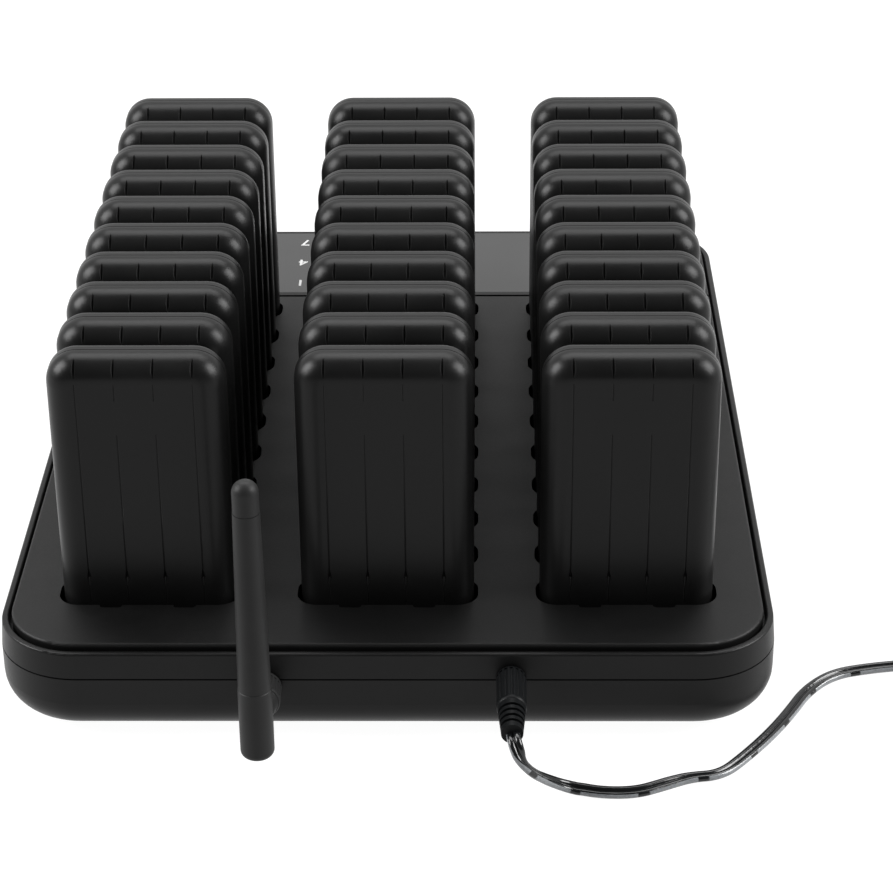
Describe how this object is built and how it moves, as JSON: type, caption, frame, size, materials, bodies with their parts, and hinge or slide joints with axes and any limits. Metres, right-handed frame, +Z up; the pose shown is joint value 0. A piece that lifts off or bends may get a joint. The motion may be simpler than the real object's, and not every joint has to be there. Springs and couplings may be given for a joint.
{
  "type": "guest pager set in charging dock",
  "caption": "Guest-paging set: charging and transmitter dock with rows of slot-in pagers, touch keypad, folding antenna and plugged-in power lead.",
  "frame": {"origin": "bottom centre of the box around the dock, its pagers and its antenna, without the power lead; Z = 0 is the table", "axes": "+Z up; +Y from the antenna and power-inlet wall towards the keypad end, where the user stands; +X to the right when looking along +Y"},
  "size_m": [0.3645, 0.353, 0.117],
  "materials": {
    "pager_plastic": "satin moulded black",
    "housing_plastic": "fine-grained satin black",
    "deck_plastic": "fine-grained satin black",
    "keypad_film": "glossy black film with white digits",
    "antenna_plastic": "matt black",
    "plug_plastic": "satin black",
    "cord_sheath": "glossy black PVC",
    "adapter_plastic": "satin black",
    "circuit_board": "green solder mask",
    "gold_contact": "gold plated",
    "nickel": "nickel plated",
    "foot_rubber": "matt black",
    "battery_wrap": "blue shrink wrap"
  },
  "bodies": {
    "dock": {"lower_housing": "housing_plastic", "upper_housing": "housing_plastic", "slot_deck": "deck_plastic", "keypad_panel": "deck_plastic", "keypad_overlay": "keypad_film", "main_board": "circuit_board", "charge_boards": "circuit_board", "charge_pins": "gold_contact", "dc_jack": "housing_plastic", "antenna_socket": "gold_contact", "housing_screws": "nickel", "rubber_feet": "foot_rubber", "internal_wiring": "cord_sheath"},
    "antenna_base": {"antenna_nut": "antenna_plastic", "antenna_knuckle": "antenna_plastic"},
    "antenna": {"antenna_sleeve": "antenna_plastic", "antenna_whip": "antenna_plastic", "antenna_tip": "antenna_plastic", "antenna_hinge_pin": "nickel"},
    "power_lead": {"plug_shell": "plug_plastic", "plug_barrel": "nickel", "power_cord": "cord_sheath", "cord_coil": "cord_sheath", "cord_tail": "cord_sheath", "adapter_body": "adapter_plastic", "adapter_pins": "nickel"},
    "pager_01": {"pager_01": "pager_plastic"},
    "pager_02": {"pager_02_face_shell": "pager_plastic", "pager_02_back_shell": "pager_plastic", "pager_02_circuit_board": "circuit_board", "pager_02_battery": "battery_wrap", "pager_02_charge_contacts": "gold_contact"},
    "pager_03": {"pager_03": "pager_plastic"},
    "pager_04": {"pager_04": "pager_plastic"},
    "pager_05": {"pager_05": "pager_plastic"},
    "pager_06": {"pager_06": "pager_plastic"},
    "pager_07": {"pager_07": "pager_plastic"},
    "pager_08": {"pager_08": "pager_plastic"},
    "pager_09": {"pager_09": "pager_plastic"},
    "pager_10": {"pager_10": "pager_plastic"},
    "pager_11": {"pager_11": "pager_plastic"},
    "pager_12": {"pager_12": "pager_plastic"},
    "pager_13": {"pager_13": "pager_plastic"},
    "pager_14": {"pager_14": "pager_plastic"},
    "pager_15": {"pager_15": "pager_plastic"},
    "pager_16": {"pager_16": "pager_plastic"},
    "pager_17": {"pager_17": "pager_plastic"},
    "pager_18": {"pager_18": "pager_plastic"},
    "pager_19": {"pager_19": "pager_plastic"},
    "pager_20": {"pager_20": "pager_plastic"},
    "pager_21": {"pager_21": "pager_plastic"},
    "pager_22": {"pager_22": "pager_plastic"},
    "pager_23": {"pager_23": "pager_plastic"},
    "pager_24": {"pager_24": "pager_plastic"},
    "pager_25": {"pager_25": "pager_plastic"},
    "pager_26": {"pager_26": "pager_plastic"},
    "pager_27": {"pager_27": "pager_plastic"},
    "pager_28": {"pager_28": "pager_plastic"},
    "pager_29": {"pager_29": "pager_plastic"},
    "pager_30": {"pager_30": "pager_plastic"}
  },
  "joints": [
    {"name": "antenna_swivel", "type": "hinge", "parent": "dock", "child": "antenna_base", "pos_m": [-0.0373, -0.14255, 0.0205], "axis": [0, 1, 0], "range_deg": [-90, 55]},
    {"name": "antenna_fold", "type": "hinge", "parent": "antenna_base", "child": "antenna", "pos_m": [-0.0373, -0.16755, 0.0205], "axis": [1, 0, 0], "range_deg": [0, 90]},
    {"name": "plug_pull", "type": "slide", "parent": "dock", "child": "power_lead", "axis": [0, -1, 0], "range_m": [0, 0.03]},
    {"name": "pager_01_lift", "type": "slide", "parent": "dock", "child": "pager_01", "axis": [0, 0, 1], "range_m": [0, 0.045]},
    {"name": "pager_02_lift", "type": "slide", "parent": "dock", "child": "pager_02", "axis": [0, 0, 1], "range_m": [0, 0.045]},
    {"name": "pager_03_lift", "type": "slide", "parent": "dock", "child": "pager_03", "axis": [0, 0, 1], "range_m": [0, 0.045]},
    {"name": "pager_04_lift", "type": "slide", "parent": "dock", "child": "pager_04", "axis": [0, 0, 1], "range_m": [0, 0.045]},
    {"name": "pager_05_lift", "type": "slide", "parent": "dock", "child": "pager_05", "axis": [0, 0, 1], "range_m": [0, 0.045]},
    {"name": "pager_06_lift", "type": "slide", "parent": "dock", "child": "pager_06", "axis": [0, 0, 1], "range_m": [0, 0.045]},
    {"name": "pager_07_lift", "type": "slide", "parent": "dock", "child": "pager_07", "axis": [0, 0, 1], "range_m": [0, 0.045]},
    {"name": "pager_08_lift", "type": "slide", "parent": "dock", "child": "pager_08", "axis": [0, 0, 1], "range_m": [0, 0.045]},
    {"name": "pager_09_lift", "type": "slide", "parent": "dock", "child": "pager_09", "axis": [0, 0, 1], "range_m": [0, 0.045]},
    {"name": "pager_10_lift", "type": "slide", "parent": "dock", "child": "pager_10", "axis": [0, 0, 1], "range_m": [0, 0.045]},
    {"name": "pager_11_lift", "type": "slide", "parent": "dock", "child": "pager_11", "axis": [0, 0, 1], "range_m": [0, 0.045]},
    {"name": "pager_12_lift", "type": "slide", "parent": "dock", "child": "pager_12", "axis": [0, 0, 1], "range_m": [0, 0.045]},
    {"name": "pager_13_lift", "type": "slide", "parent": "dock", "child": "pager_13", "axis": [0, 0, 1], "range_m": [0, 0.045]},
    {"name": "pager_14_lift", "type": "slide", "parent": "dock", "child": "pager_14", "axis": [0, 0, 1], "range_m": [0, 0.045]},
    {"name": "pager_15_lift", "type": "slide", "parent": "dock", "child": "pager_15", "axis": [0, 0, 1], "range_m": [0, 0.045]},
    {"name": "pager_16_lift", "type": "slide", "parent": "dock", "child": "pager_16", "axis": [0, 0, 1], "range_m": [0, 0.045]},
    {"name": "pager_17_lift", "type": "slide", "parent": "dock", "child": "pager_17", "axis": [0, 0, 1], "range_m": [0, 0.045]},
    {"name": "pager_18_lift", "type": "slide", "parent": "dock", "child": "pager_18", "axis": [0, 0, 1], "range_m": [0, 0.045]},
    {"name": "pager_19_lift", "type": "slide", "parent": "dock", "child": "pager_19", "axis": [0, 0, 1], "range_m": [0, 0.045]},
    {"name": "pager_20_lift", "type": "slide", "parent": "dock", "child": "pager_20", "axis": [0, 0, 1], "range_m": [0, 0.045]},
    {"name": "pager_21_lift", "type": "slide", "parent": "dock", "child": "pager_21", "axis": [0, 0, 1], "range_m": [0, 0.045]},
    {"name": "pager_22_lift", "type": "slide", "parent": "dock", "child": "pager_22", "axis": [0, 0, 1], "range_m": [0, 0.045]},
    {"name": "pager_23_lift", "type": "slide", "parent": "dock", "child": "pager_23", "axis": [0, 0, 1], "range_m": [0, 0.045]},
    {"name": "pager_24_lift", "type": "slide", "parent": "dock", "child": "pager_24", "axis": [0, 0, 1], "range_m": [0, 0.045]},
    {"name": "pager_25_lift", "type": "slide", "parent": "dock", "child": "pager_25", "axis": [0, 0, 1], "range_m": [0, 0.045]},
    {"name": "pager_26_lift", "type": "slide", "parent": "dock", "child": "pager_26", "axis": [0, 0, 1], "range_m": [0, 0.045]},
    {"name": "pager_27_lift", "type": "slide", "parent": "dock", "child": "pager_27", "axis": [0, 0, 1], "range_m": [0, 0.045]},
    {"name": "pager_28_lift", "type": "slide", "parent": "dock", "child": "pager_28", "axis": [0, 0, 1], "range_m": [0, 0.045]},
    {"name": "pager_29_lift", "type": "slide", "parent": "dock", "child": "pager_29", "axis": [0, 0, 1], "range_m": [0, 0.045]},
    {"name": "pager_30_lift", "type": "slide", "parent": "dock", "child": "pager_30", "axis": [0, 0, 1], "range_m": [0, 0.045]}
  ]
}
